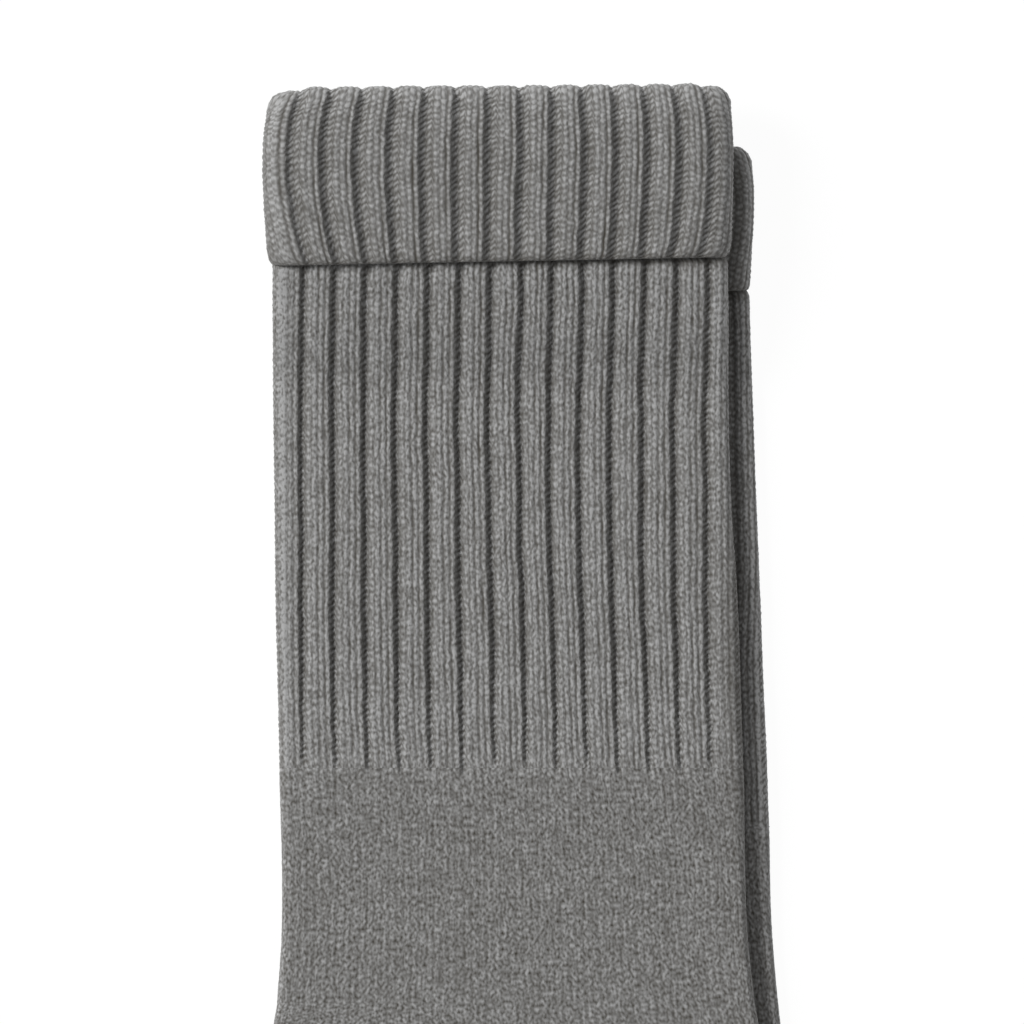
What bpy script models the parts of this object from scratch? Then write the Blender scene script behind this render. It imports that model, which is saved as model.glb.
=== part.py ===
"""Pair of ribbed wool calf socks, lying flat one on the other with their tops turned down.

Each sock is one closed wall of knitted cloth. The wall runs from the toe up the outside of the leg,
folds over at the top, comes down again as the turned-down cuff, and goes back along its own inner
face to the toe. A flattened ring of the wall is worked out from its two edges as seen from above,
its rise over the middle plane of the sock and its drop below it.

Lengths are millimetres until the mesh is made. A sock's own origin is the middle of its top fold:
the leg runs down -Y, the heel is on the +X side, and +Z is up from the surface the pair lies on.
"""

import math
from collections import namedtuple

import bmesh
import bpy
from mathutils import Matrix, Vector

MM = 0.001

# Cloth
WALL = 1.4
RIB = 0.9
LAYER_GAP = 0.4
REST_GAP = 0.3
HALF_SLIT = 0.2          # half the air between the two faces of a flattened sock

# Ribs, counted over one face; the first and the last round the sock's edges
RIBS = 15
EDGE_RIB_WIDTH = 5.2
EDGE_RIB_SHARE = 0.6     # an edge rib's height, as a share of RIB
RIBS_END = 136.0         # depth below the fold where the plain ankle begins
RIB_FADE = 6.0
RIBS_UNDER_CUFF = 6.0
HIDDEN_RIBS = 0.7        # their height there, as a share of RIB

# The fold and the hem, seen from above
HEM_TILT = 1.7
CORNER_DROP = 1.8
CORNER_REACH = 12.0
CORNER_DEPTH = 10.0
HEM_CLEARANCE = 1.0      # length below the hem before the leg widens and steps down
LEG_WIDENS = 4.0         # and then the length in which it comes to its own width

# How far the wall's edges lie inside the outline, and the squeezed leg inside its cuff
EDGE_SWELL = 0.3
RIB_ROOM = 0.2

# Toe: an ellipse seen from above, thinner at its tip
TOE_LENGTH = 36.0
TOE_RINGS = 6
TOE_LAST_ANGLE = math.radians(83)
TOE_THINNING = 0.45

# Rest: a sock steps down from its cuff to its leg, and the upper one bridges from the lower
# one's cuff to its leg and sags past its edge
CUFF_STEP = 9.0
STEP_RING_PITCH = 4.0
BRIDGE_START = 2.0
BRIDGE_LENGTH = 17.0
SAG = 0.012              # droop for each square millimetre of overhang

WOOL_GREY = (0.165, 0.165, 0.16, 1.0)
WOOL_ROUGHNESS = 0.95

# A rib's profile from one valley to the next: place in its width, height
RibPoint = namedtuple("RibPoint", "at height")
RIB_PROFILE = (
    RibPoint(0.00, 0.00),
    RibPoint(0.20, 0.85),
    RibPoint(0.50, 1.00),
    RibPoint(0.84, 0.90),
)

# A cuff's edges from its fold (share 0) to its hem (share 1)
CuffRow = namedtuple("CuffRow", "share front back lower_back")
CUFF = (
    CuffRow(0.00, -46.5, 45.9, 45.8),
    CuffRow(0.14, -46.8, 46.3, 46.4),
    CuffRow(0.31, -47.4, 46.7, 46.9),
    CuffRow(0.54, -47.6, 46.8, 46.6),
    CuffRow(0.88, -47.1, 46.5, 45.9),
    CuffRow(1.00, -47.0, 46.4, 46.2),
)

# The leg's edges at a depth below the fold
LegRow = namedtuple("LegRow", "depth front back lower_back")
LEG = (
    LegRow(28.0, -45.6, 45.6, 45.8),
    LegRow(41.4, -45.6, 45.6, 46.1),
    LegRow(63.4, -45.4, 45.6, 46.5),
    LegRow(83.4, -45.2, 45.8, 47.0),
    LegRow(103.4, -44.9, 47.2, 47.4),
    LegRow(127.4, -44.4, 48.2, 48.1),
    LegRow(151.4, -43.9, 49.0, 48.6),
    LegRow(169.4, -43.8, 49.6, 49.6),
    LegRow(183.4, -44.8, 50.9, 50.9),
)

# Rings that fan round the instep: their ends on the front edge and on the heel's edge
FootRow = namedtuple("FootRow", "front_x front_y back_x back_y")
FOOT = (
    FootRow(-44.8, -183.4, 50.9, -183.4),
    FootRow(-47.0, -193.4, 53.8, -197.4),
    FootRow(-51.2, -202.4, 57.0, -213.4),
    FootRow(-57.6, -210.4, 57.6, -230.4),
    FootRow(-66.1, -216.4, 52.9, -246.4),
    FootRow(-75.6, -220.9, 41.9, -260.4),
    FootRow(-85.6, -225.1, 24.4, -270.4),
    FootRow(-96.6, -229.6, -1.6, -281.4),
    FootRow(-109.6, -234.8, -35.6, -295.2),
    FootRow(-125.6, -241.3, -75.6, -311.4),
    FootRow(-141.6, -247.8, -110.0, -325.9),
)

# Where each sock lies in the pair, whose frame is the upper sock's own
Place = namedtuple("Place", "name shift_x shift_y turn turn_down on_top")
LOWER = Place("lower_sock", 3.7, -12.4, 0.7, 30.0, False)
UPPER = Place("upper_sock", 0.0, 0.0, 0.0, 35.4, True)

# A layer of the wall: how far its edges are drawn in, its rise over the middle plane, its drop
Layer = namedtuple("Layer", "inset rise drop")
SLIT = Layer(EDGE_SWELL + WALL, HALF_SLIT, HALF_SLIT)
LEG_FACE = Layer(EDGE_SWELL, HALF_SLIT + WALL, HALF_SLIT + WALL)
CUFF_LINING = Layer(EDGE_SWELL + WALL, LEG_FACE.rise + RIB + LAYER_GAP, LEG_FACE.drop + LAYER_GAP)
CUFF_FACE = Layer(EDGE_SWELL, CUFF_LINING.rise + WALL, CUFF_LINING.drop + WALL)
LEG_IN_CUFF = Layer(CUFF_LINING.inset + LAYER_GAP + RIB_ROOM, LEG_FACE.rise, LEG_FACE.drop)
SLIT_IN_CUFF = Layer(LEG_IN_CUFF.inset + WALL, HALF_SLIT, HALF_SLIT)

FOLD_RADIUS = (CUFF_FACE.rise - HALF_SLIT) / 2
LINING_RADIUS = FOLD_RADIUS - WALL

# Where a plain face of a ring has its points: angles round each edge, shares of the flat between
EDGE_ANGLES = tuple(math.radians(angle) for angle in (30, 60, 90))
FLAT_SHARES = (0.04, 0.14, 0.30, 0.50, 0.70, 0.86, 0.96)

# Angles of the rings round the top fold, and those between which the ribs fade, in degrees
LINING_FOLD_ANGLES = (180, 135, 90, 45, 0)
FACE_FOLD_ANGLES = (0, 25, 50, 75, 100, 130, 180)
RIBS_FADE_FROM, RIBS_FADE_TO = 45, 125

Section = namedtuple("Section", "front back")    # the edges of a ring, seen from above
Ring = namedtuple("Ring", "upper lower")         # its two faces, each from front edge to back edge


def mix(first, second, share):
    return first + (second - first) * share


def ease(share):
    """Smooth step from 0 to 1 as share goes from 0 to 1."""
    share = min(max(share, 0.0), 1.0)
    return share * share * (3 - 2 * share)


def hermite(start, end, start_slope, end_slope, t):
    """Smooth curve from start to end with a given slope at each."""
    rise = 3 * t**2 - 2 * t**3
    return mix(start, end, rise) + (t**3 - 2 * t**2 + t) * start_slope + (t**3 - t**2) * end_slope


def read_row(rows, value, column):
    """Read a column of a table at a value of its first column, on a smooth curve through the rows."""
    keys = [row[0] for row in rows]
    values = [getattr(row, column) for row in rows]
    value = min(max(value, keys[0]), keys[-1])
    index = max(i for i in range(len(keys) - 1) if keys[i] <= value)

    def slope(i):
        before, after = max(i - 1, 0), min(i + 1, len(keys) - 1)
        return (values[after] - values[before]) / (keys[after] - keys[before])

    width = keys[index + 1] - keys[index]
    t = (value - keys[index]) / width
    return hermite(values[index], values[index + 1], slope(index) * width, slope(index + 1) * width, t)


def foot_section(step):
    """The foot's section at a step along its rows, whole or between two of them."""
    index = min(int(step), len(FOOT) - 2)
    before, start, end, after = (FOOT[min(max(index + i, 0), len(FOOT) - 1)] for i in (-1, 0, 1, 2))
    ends = [
        hermite(start[i], end[i], (end[i] - before[i]) / 2, (after[i] - start[i]) / 2, step - index)
        for i in range(4)
    ]
    return Section(Vector(ends[:2]), Vector(ends[2:]))


def toe_section(angle):
    """A ring of the toe, square to the foot, at an angle round the toe's ellipse."""
    last = foot_section(len(FOOT) - 1)
    half = (last.back - last.front) / 2
    ahead = Vector((half.y, -half.x)).normalized()
    middle = last.front + half + ahead * TOE_LENGTH * math.sin(angle)
    return Section(middle - half * math.cos(angle), middle + half * math.cos(angle))


def cuff_section(place, depth):
    share = depth / place.turn_down
    front = read_row(CUFF, share, "front")
    back = read_row(CUFF, share, "back" if place.on_top else "lower_back")
    return Section(Vector((front, -depth)), Vector((back, -depth)))


def leg_section(place, depth):
    """The leg's edges: squeezed under the cuff, widening to their own width below the hem."""
    squeezed = cuff_section(place, min(depth, place.turn_down))
    tuck = LEG_IN_CUFF.inset - LEG_FACE.inset
    share = ease((depth - place.turn_down - HEM_CLEARANCE) / LEG_WIDENS)
    front = mix(squeezed.front.x + tuck, read_row(LEG, depth, "front"), share)
    back_column = "back" if place.on_top else "lower_back"
    back = mix(squeezed.back.x - tuck, read_row(LEG, depth, back_column), share)
    return Section(Vector((front, -depth)), Vector((back, -depth)))


class Outline:
    """The points of one ring, each as (share of the way across, place).

    Ribs stand out of the upper face by ribs times RIB. Round the top fold, lift moves the ring past
    its section along the leg and lean turns its ribs that way.
    """

    def __init__(self, section, layer, ribs=0.0, ribbed=False, lift=0.0, lean=0.0):
        self.section = section
        self.layer = layer
        self.ribs = ribs
        self.lift = lift
        self.lean = lean
        self.across = (section.back - section.front).normalized()
        self.width = (section.back - section.front).length
        face = self.ribbed_face() if ribbed else self.plain_face(layer.rise)
        self.upper = [self.point(layer.inset, 0.0), *face, self.point(self.width - layer.inset, 0.0)]
        self.below = [self.point(inwards, -drop) for inwards, drop in self.plain_run(layer.drop)]

    def point(self, inwards, height, swell=0.0, angle=math.pi / 2):
        """A point some way in from the front edge, swollen along its normal at angle to the flat."""
        outwards = math.cos(angle) * (-1 if inwards < self.width / 2 else 1)
        flat = self.section.front + self.across * (inwards + swell * math.cos(self.lean) * outwards)
        flat.y += self.lift + swell * math.sin(self.lean)
        rise = height + swell * math.cos(self.lean) * math.sin(angle)
        return inwards / self.width, Vector((flat.x, flat.y, rise))

    def plain_run(self, radius):
        """A plain face's points: how far in each lies and its distance from the middle plane."""
        inset = self.layer.inset
        edge = [(inset + radius * (1 - math.cos(a)), radius * math.sin(a)) for a in EDGE_ANGLES]
        start = edge[-1][0]
        flat = [(mix(start, self.width - start, share), radius) for share in FLAT_SHARES]
        return edge + flat + [(self.width - inwards, height) for inwards, height in reversed(edge)]

    def plain_face(self, radius):
        return [self.point(inwards, height) for inwards, height in self.plain_run(radius)]

    def edge_rib_point(self, at):
        """Place and normal on an edge rib, from the sock's side (0) to the first valley (1)."""
        rise = self.layer.rise
        round_length = rise * math.pi / 2
        straight = max(EDGE_RIB_WIDTH - self.layer.inset - rise, 0.0)
        reach = at * (round_length + straight)
        angle = min(reach / rise, math.pi / 2)
        inwards = self.layer.inset + rise * (1 - math.cos(angle)) + max(reach - round_length, 0.0)
        return inwards, rise * math.sin(angle), angle

    def ribbed_face(self):
        pitch = (self.width - 2 * EDGE_RIB_WIDTH) / (RIBS - 2)
        face = []
        for rib in range(RIBS):
            for at, height in RIB_PROFILE:
                swell = RIB * self.ribs * height
                if rib == 0:
                    inwards, rise, angle = self.edge_rib_point(at)
                    face.append(self.point(inwards, rise, swell * EDGE_RIB_SHARE, angle))
                elif rib == RIBS - 1:
                    inwards, rise, angle = self.edge_rib_point(1 - at)
                    face.append(self.point(self.width - inwards, rise, swell * EDGE_RIB_SHARE, angle))
                else:
                    inwards = EDGE_RIB_WIDTH + pitch * (rib - 1 + at)
                    face.append(self.point(inwards, self.layer.rise, swell))
        return face[1:]

    def round_corners(self, depth):
        """Drop the ends of the rings near the fold, which rounds its corners."""
        near_fold = min(max(1 - (depth - FOLD_RADIUS) / CORNER_DEPTH, 0.0), 1.0)
        for share, point in self.upper + self.below:
            from_edge = min(share, 1 - share) * self.width
            corner = max(1 - from_edge / CORNER_REACH, 0.0) ** 1.2
            point.y -= CORNER_DROP * corner * near_fold

    def tilt(self, amount):
        """Turn the ring a little, as the hem lies."""
        for share, point in self.upper + self.below:
            point.y += HEM_TILT * (share - 0.5) * amount


def fold_layer(outer, inner, angle):
    """The layer at an angle round a fold, from the outer one at 0 to the inner one at pi."""
    share = (1 - math.cos(angle)) / 2
    return Layer(*(mix(first, second, share) for first, second in zip(outer, inner)))


def toe_outlines(layer, rings):
    """Rings from the foot to the toe's tip."""
    outlines = []
    for ring in range(1, rings + 1):
        thickness = 1 - TOE_THINNING * (ring / TOE_RINGS) ** 4
        thinner = Layer(layer.inset, layer.rise * thickness, layer.drop * thickness)
        outlines.append(Outline(toe_section(TOE_LAST_ANGLE * ring / TOE_RINGS), thinner))
    return outlines


def cuff_outline(place, depth, layer, tilted, **ribbing):
    """A ring of the cuff or of what it covers; the hem's tilt grows over its lower half."""
    outline = Outline(cuff_section(place, depth), layer, **ribbing)
    outline.round_corners(depth)
    if tilted:
        outline.tilt(ease(2 * depth / place.turn_down - 1))
    return outline


def fold_outlines(place, outer, inner, radius, angles):
    """Rings round the top fold, from its outer layer at 0 to its inner one at 180 degrees."""
    outlines = []
    for degrees in angles:
        angle = math.radians(degrees)
        ribs = ease((RIBS_FADE_TO - degrees) / (RIBS_FADE_TO - RIBS_FADE_FROM))
        outline = Outline(
            cuff_section(place, FOLD_RADIUS), fold_layer(outer, inner, angle), ribs=ribs,
            ribbed=outer is CUFF_FACE and ribs > 0, lift=radius * math.sin(angle), lean=angle)
        outline.round_corners(FOLD_RADIUS)
        outlines.append(outline)
    return outlines


def sock_outlines(place):
    """The rings of a sock in order, from the toe's outside over the fold to the toe's inside."""
    hem = place.turn_down
    tucked = hem - RIBS_UNDER_CUFF
    covered_depths = [CORNER_DEPTH, hem / 2, tucked - 1]
    settle = bridge_end() - hem if place.on_top else CUFF_STEP
    rings = math.ceil(settle / STEP_RING_PITCH)
    ribbed_depths = [hem + HEM_CLEARANCE + settle * ring / rings for ring in range(rings + 1)]
    full_ribs_end = RIBS_END - RIB_FADE
    ribbed_depths += [row.depth for row in LEG if ribbed_depths[-1] < row.depth < full_ribs_end]
    ribbed_depths.append(full_ribs_end)
    plain_depths = [row.depth for row in LEG[:-1] if row.depth > RIBS_END]
    foot = [foot_section(step / 2) for step in range(2 * len(FOOT) - 1)]

    outside = [cuff_outline(place, depth, LEG_IN_CUFF, False) for depth in covered_depths]
    outside.append(Outline(cuff_section(place, tucked), LEG_IN_CUFF, ribbed=True))
    outside.append(Outline(cuff_section(place, (tucked + hem) / 2), LEG_IN_CUFF, HIDDEN_RIBS, True))
    outside += [Outline(leg_section(place, depth), LEG_FACE, 1.0, True) for depth in ribbed_depths]
    outside.append(Outline(leg_section(place, RIBS_END), LEG_FACE, ribbed=True))
    outside += [Outline(leg_section(place, depth), LEG_FACE) for depth in [RIBS_END + 1] + plain_depths]
    outside += [Outline(section, LEG_FACE) for section in foot]
    outside += toe_outlines(LEG_FACE, TOE_RINGS)

    lining = fold_outlines(place, CUFF_LINING, LEG_IN_CUFF, LINING_RADIUS, LINING_FOLD_ANGLES)
    lining += [cuff_outline(place, depth, CUFF_LINING, True) for depth in covered_depths]
    lining.append(cuff_outline(place, hem - WALL / 2, CUFF_LINING, True))

    hem_layer = fold_layer(CUFF_LINING, CUFF_FACE, math.pi / 2)
    face = [cuff_outline(place, hem, hem_layer, True, ribs=0.5, ribbed=True)]
    for depth in [hem - WALL / 2] + covered_depths[::-1]:
        face.append(cuff_outline(place, depth, CUFF_FACE, True, ribs=1.0, ribbed=True))
    face += fold_outlines(place, CUFF_FACE, SLIT_IN_CUFF, FOLD_RADIUS, FACE_FOLD_ANGLES)

    inside = [cuff_outline(place, depth, SLIT_IN_CUFF, False) for depth in covered_depths]
    inside += [Outline(leg_section(place, depth), SLIT) for depth in ribbed_depths + plain_depths]
    inside += [Outline(section, SLIT) for section in foot]
    inside += toe_outlines(SLIT, TOE_RINGS - 2)
    return outside[::-1] + lining + face + inside


def to_pair(place, point):
    """From a sock's own frame to the pair's, seen from above."""
    turned = Matrix.Rotation(math.radians(place.turn), 2) @ point.to_2d()
    return turned + Vector((place.shift_x, place.shift_y))


def plan_outline(place):
    """The sock's outline seen from above, in the pair's frame."""
    sections = [cuff_section(place, 0), cuff_section(place, place.turn_down / 2)]
    sections += [leg_section(place, row.depth) for row in LEG[1:-1]]
    sections += [foot_section(step) for step in range(len(FOOT))]
    sections += [toe_section(math.pi / 2 * ring / TOE_RINGS) for ring in range(1, TOE_RINGS + 1)]
    edge = [section.front for section in sections] + [section.back for section in reversed(sections)]
    return [to_pair(place, point) for point in edge]


def distance_outside(point, polygon):
    """How far a point lies outside a polygon, or 0 inside it."""
    inside = False
    nearest = math.inf
    for start, end in zip(polygon, polygon[1:] + polygon[:1]):
        if (start.y > point.y) != (end.y > point.y):
            crossing = start.x + (point.y - start.y) * (end.x - start.x) / (end.y - start.y)
            inside = inside != (point.x < crossing)
        side = end - start
        if side.length > 0:
            share = min(max((point - start).dot(side) / side.length_squared, 0.0), 1.0)
            nearest = min(nearest, (point - start - side * share).length)
    return 0.0 if inside else nearest


def lower_hem_depth():
    """Depth of the lower sock's hem below the upper sock's fold."""
    return LOWER.turn_down - LOWER.shift_y


def bridge_end():
    return lower_hem_depth() + BRIDGE_START + BRIDGE_LENGTH


def own_drop(place, depth):
    """How far a sock's middle plane lies over its underside, at a depth below its fold."""
    return mix(CUFF_FACE.drop, LEG_FACE.drop, ease((depth - place.turn_down - HEM_CLEARANCE) / CUFF_STEP))


def under_upper(point, polygon):
    """Height of the surface under the upper sock: the lower sock's cuff and leg, and past its edge."""
    cuff_top = CUFF_FACE.drop + CUFF_FACE.rise + RIB + REST_GAP
    leg_top = LEG_FACE.drop + LEG_FACE.rise + RIB + REST_GAP
    bridged = ease((-point.y - lower_hem_depth() - BRIDGE_START) / BRIDGE_LENGTH)
    return mix(cuff_top, leg_top, bridged) - SAG * distance_outside(point, polygon) ** 2


def make_ring(bm, outline, place, polygon):
    """Add a ring's points to the mesh, set in the pair's frame."""
    def vertex(point):
        plan = to_pair(place, point)
        height = own_drop(place, -point.y) + point.z
        if place.on_top:
            height += under_upper(plan, polygon)
        return bm.verts.new(Vector((plan.x, plan.y, height)) * MM)

    upper = [(share, vertex(point)) for share, point in outline.upper]
    below = [(share, vertex(point)) for share, point in outline.below]
    return Ring(upper, [upper[0], *below, upper[-1]])


def bridge_faces(bm, first, second):
    """Faces between two runs of points that may differ in number, matched by their shares."""
    if len(first) == len(second):
        for i in range(len(first) - 1):
            bm.faces.new((first[i][1], first[i + 1][1], second[i + 1][1], second[i][1]))
        return
    i = j = 0
    while i < len(first) - 1 or j < len(second) - 1:
        if j == len(second) - 1 or (i < len(first) - 1 and first[i + 1][0] <= second[j + 1][0]):
            bm.faces.new((first[i][1], first[i + 1][1], second[j][1]))
            i += 1
        else:
            bm.faces.new((first[i][1], second[j + 1][1], second[j][1]))
            j += 1


def close_toe(bm, ring):
    """Fill the last ring, whose two faces have the same number of points."""
    for i in range(len(ring.upper) - 1):
        corners = (ring.upper[i][1], ring.upper[i + 1][1], ring.lower[i + 1][1], ring.lower[i][1])
        bm.faces.new(tuple(dict.fromkeys(corners)))


def make_wool():
    material = bpy.data.materials.new("grey_wool")
    material.use_nodes = True
    shader = material.node_tree.nodes["Principled BSDF"]
    shader.inputs["Base Color"].default_value = WOOL_GREY
    shader.inputs["Roughness"].default_value = WOOL_ROUGHNESS
    shader.inputs["Metallic"].default_value = 0.0
    return material


def make_sock(place, polygon):
    bm = bmesh.new()
    rings = [make_ring(bm, outline, place, polygon) for outline in sock_outlines(place)]
    for first, second in zip(rings, rings[1:]):
        bridge_faces(bm, first.upper, second.upper)
        bridge_faces(bm, first.lower, second.lower)
    close_toe(bm, rings[0])
    close_toe(bm, rings[-1])
    bmesh.ops.recalc_face_normals(bm, faces=bm.faces)
    mesh = bpy.data.meshes.new(place.name)
    bm.to_mesh(mesh)
    bm.free()
    mesh.shade_smooth()
    mesh.materials.append(make_wool())
    sock = bpy.data.objects.new(place.name, mesh)
    bpy.context.scene.collection.objects.link(sock)
    return sock


def centre_on_base(socks):
    """Put the origin at the middle of the pair's base."""
    corners = [vertex.co for sock in socks for vertex in sock.data.vertices]
    lowest = Vector(min(corner[axis] for corner in corners) for axis in range(3))
    highest = Vector(max(corner[axis] for corner in corners) for axis in range(3))
    middle = (lowest + highest) / 2
    for sock in socks:
        sock.data.transform(Matrix.Translation((-middle.x, -middle.y, -lowest.z)))


def main():
    for thing in list(bpy.data.objects):
        bpy.data.objects.remove(thing)
    polygon = plan_outline(LOWER)
    centre_on_base([make_sock(place, polygon) for place in (LOWER, UPPER)])


main()
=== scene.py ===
"""The looks of a pair of ribbed wool calf socks, lying flat one on the other.

Each sock is a knitted tube pressed flat, with its top turned down. Its surface is a grid: the rows are
rings of the tube and the columns run along its wales. A wale is a column of stitches and a course is
a row of them. Every ring is worked out from its two edges as seen from above, then the ribs, the
wales and the stitches are pressed into it, so that their crests stay on the plain form.

Lengths are millimetres until a mesh is made. A sock's own origin is the middle of its top fold: the leg
runs down -Y, the heel is on the +X side, and +Z is up.
"""

import math
from collections import namedtuple
from functools import partial

import bpy
import numpy as np
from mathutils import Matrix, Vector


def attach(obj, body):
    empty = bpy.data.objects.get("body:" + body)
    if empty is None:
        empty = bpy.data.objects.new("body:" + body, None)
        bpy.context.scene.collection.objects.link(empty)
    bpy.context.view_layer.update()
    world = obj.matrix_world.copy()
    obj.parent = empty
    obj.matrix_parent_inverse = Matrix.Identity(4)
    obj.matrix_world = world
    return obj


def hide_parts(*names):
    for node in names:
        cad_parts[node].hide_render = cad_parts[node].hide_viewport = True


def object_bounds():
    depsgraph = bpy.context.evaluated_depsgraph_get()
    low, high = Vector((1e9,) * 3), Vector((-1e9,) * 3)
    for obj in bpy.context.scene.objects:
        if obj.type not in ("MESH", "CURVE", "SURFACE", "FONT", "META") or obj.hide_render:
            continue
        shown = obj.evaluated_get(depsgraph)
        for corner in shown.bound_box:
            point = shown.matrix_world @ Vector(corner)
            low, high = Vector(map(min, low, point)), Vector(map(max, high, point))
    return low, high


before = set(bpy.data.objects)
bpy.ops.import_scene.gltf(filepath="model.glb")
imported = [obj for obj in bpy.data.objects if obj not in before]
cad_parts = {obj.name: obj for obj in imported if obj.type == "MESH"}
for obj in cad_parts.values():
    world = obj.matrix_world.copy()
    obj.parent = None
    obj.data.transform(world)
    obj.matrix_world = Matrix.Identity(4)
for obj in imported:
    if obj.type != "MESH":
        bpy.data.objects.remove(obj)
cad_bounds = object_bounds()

MM = 0.001


def table(kind, *rows):
    return tuple(kind(*row) for row in rows)


# ---- The socks' sizes, as the solids have them ----

WALL = 1.4
RIB = 0.9
LAYER_GAP = 0.4
REST_GAP = 0.3
HALF_SLIT = 0.2

RIBS = 15
EDGE_RIB_WIDTH = 5.2
EDGE_RIB_SHARE = 0.6
RIBS_END = 136.0
RIBS_UNDER_CUFF = 6.0

HEM_TILT = 1.7
HEM_CLEARANCE = 1.0

EDGE_SWELL = 0.3
RIB_ROOM = 0.2

TOE_LENGTH = 36.0
TOE_THINNING = 0.45

CUFF_STEP = 9.0
BRIDGE_START = 2.0
BRIDGE_LENGTH = 17.0
SAG = 0.012

CuffRow = namedtuple("CuffRow", "share front back lower_back")
CUFF = table(
    CuffRow, (0.00, -46.6, 46.3, 46.8), (0.14, -47.0, 46.5, 47.1), (0.31, -47.5, 46.8, 47.3),
    (0.54, -47.6, 46.8, 47.1), (0.88, -46.9, 46.5, 46.4), (1.00, -46.6, 46.3, 46.4))

LegRow = namedtuple("LegRow", "depth front back lower_back")
LEG = table(
    LegRow, (28.0, -45.5, 45.7, 46.1), (41.4, -45.6, 45.8, 46.3), (63.4, -45.6, 45.9, 46.8),
    (83.4, -45.3, 46.5, 47.4), (103.4, -45.1, 47.8, 47.9), (127.4, -44.5, 48.6, 48.6),
    (151.4, -44.1, 49.3, 49.0), (169.4, -44.1, 49.9, 50.1), (183.4, -45.0, 51.3, 51.5))
ANKLE_END = LEG[-1].depth

FootRow = namedtuple("FootRow", "front_x front_y back_x back_y")
FOOT = table(
    FootRow, (-44.9, -183.4, 51.3, -183.4), (-47.0, -193.4, 53.8, -197.4), (-51.2, -202.4, 57.0, -213.4),
    (-57.6, -210.4, 57.6, -230.4), (-66.1, -216.4, 52.9, -246.4), (-75.6, -220.9, 41.9, -260.4),
    (-85.6, -225.1, 24.4, -270.4), (-96.6, -229.6, -1.6, -281.4), (-109.6, -234.8, -35.6, -295.2),
    (-125.6, -241.3, -75.6, -311.4), (-141.6, -247.8, -110.0, -325.9))
HEEL_STEP = 4             # the row that points at the heel's corner

Place = namedtuple("Place", "name shift_x shift_y turn turn_down on_top hem_corner back")
LOWER = Place("lower_sock", 3.7, -12.4, 0.7, 30.0, False, 0.15, "lower_back")
UPPER = Place("upper_sock", 0.0, 0.0, 0.0, 35.4, True, 0.6, "back")

Layer = namedtuple("Layer", "inset rise drop")
SLIT = Layer(EDGE_SWELL + WALL, HALF_SLIT, HALF_SLIT)
LEG_FACE = Layer(EDGE_SWELL, HALF_SLIT + WALL, HALF_SLIT + WALL)
CUFF_LINING = Layer(EDGE_SWELL + WALL, LEG_FACE.rise + RIB + LAYER_GAP, LEG_FACE.drop + LAYER_GAP)
CUFF_FACE = Layer(EDGE_SWELL, CUFF_LINING.rise + WALL, CUFF_LINING.drop + WALL)
LEG_IN_CUFF = Layer(CUFF_LINING.inset + LAYER_GAP + RIB_ROOM, LEG_FACE.rise, LEG_FACE.drop)
SLIT_IN_CUFF = Layer(LEG_IN_CUFF.inset + WALL, HALF_SLIT, HALF_SLIT)

FOLD_RADIUS = (CUFF_FACE.rise - HALF_SLIT) / 2
LINING_RADIUS = FOLD_RADIUS - WALL

# Angles of the solid's rings round the top fold, and those between which its ribs fade
SOLID_FOLD_ANGLES = (0, 25, 50, 75, 100)
SOLID_FADE_FROM, SOLID_FADE_TO = 45, 125

# ---- The knitting ----

WALES_PER_RIB = 5
FACE_WALES = RIBS * WALES_PER_RIB
PLAIN_WALES = 0.86        # share of these wales that the plain knitting has
COURSE = 1.3              # height of a course on the cuff and the leg
FOOT_COURSE = 1.2
WALE_WIDTH = 1.16
EDGE_DRAWN = 40.0         # how far the ribs next to an edge are drawn from it, over a row's share
EDGE_STILL = 0.25         # share of a rib at an edge that the ribs' shifts leave where it is
DRAW_GROWTH = 2.2         # how fast the ribs' drawing together grows towards the edges
GAP_SHIFT = 0.25          # wales from a rib's valley back to the nearest gap between two wales

# A rib's height over its width, from one valley to the next, and the painted light and shade in the
# wool's colour there: mostly painted shade in the valley and on its left flank, a purl wale that lies
# low and open.
RibPoint = namedtuple("RibPoint", "at height light")
LEG_RIB = table(
    RibPoint, (0.00, 0.08, 0.66), (0.03, 0.00, 0.62), (0.08, 0.10, 0.79), (0.14, 0.28, 0.66),
    (0.20, 0.52, 0.64), (0.26, 0.80, 0.81), (0.32, 1.00, 0.99), (0.40, 1.00, 0.97), (0.48, 1.00, 1.05),
    (0.58, 1.00, 0.98), (0.70, 1.00, 1.00), (0.86, 1.00, 0.88), (0.94, 0.94, 0.88), (0.98, 0.60, 0.83),
    (1.00, 0.08, 0.66))
CUFF_RIB = table(
    RibPoint, (0.00, 0.14, 1.14), (0.07, 0.00, 1.00), (0.14, 0.06, 0.90), (0.24, 0.34, 0.77),
    (0.30, 0.60, 0.75), (0.38, 0.88, 0.88), (0.48, 1.00, 1.00), (0.90, 1.00, 0.98), (0.95, 0.72, 1.01),
    (1.00, 0.14, 1.14))
VALLEY = 0.35             # how far a valley is pressed below the plain form
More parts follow.
